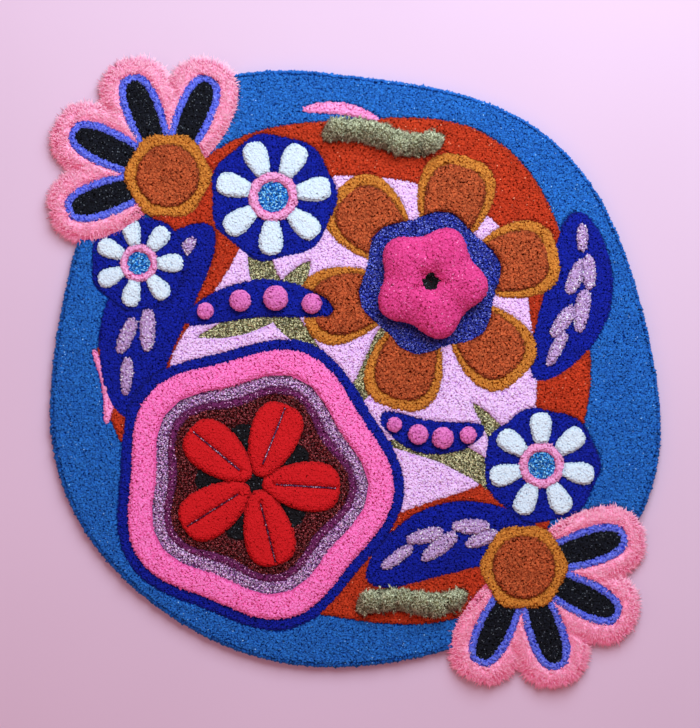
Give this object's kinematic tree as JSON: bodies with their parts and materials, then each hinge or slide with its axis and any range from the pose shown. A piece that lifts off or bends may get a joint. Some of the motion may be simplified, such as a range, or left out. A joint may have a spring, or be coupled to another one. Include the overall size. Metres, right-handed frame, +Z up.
{
  "type": "tufted rug",
  "caption": "Free-form hand-tufted floral rug in many yarns and pile heights, with shag fans at its rim, tinsel garlands and sewn-on padded pieces.",
  "frame": {"origin": "on the underside, below the middle of the rug's bounding box", "axes": "+Z up out of the pile, +Y towards the top of the design, +X towards its right"},
  "size_m": [0.7651, 0.8019, 0.0429],
  "materials": {
    "rug_pile": "matte cut pile of many wool and acrylic yarns, some of them metallic, each clipped level",
    "coral_shag": "long soft coral shag around short black pile",
    "tinsel": "shaggy olive-gold tinsel yarn with glints",
    "heart_pile": "dense sculpted hot-pink pile over a padded core",
    "berry_pile": "dense clipped hot-pink pile"
  },
  "bodies": {
    "root": {"rug_body": "rug_pile", "shag_fan_1": "coral_shag", "shag_fan_2": "coral_shag", "tinsel_garland_1": "tinsel", "tinsel_garland_2": "tinsel", "flower_heart": "heart_pile", "berry_1": "berry_pile", "berry_2": "berry_pile", "berry_3": "berry_pile", "berry_4": "berry_pile", "berry_5": "berry_pile", "berry_6": "berry_pile", "berry_7": "berry_pile", "berry_8": "berry_pile"}
  },
  "joints": []
}
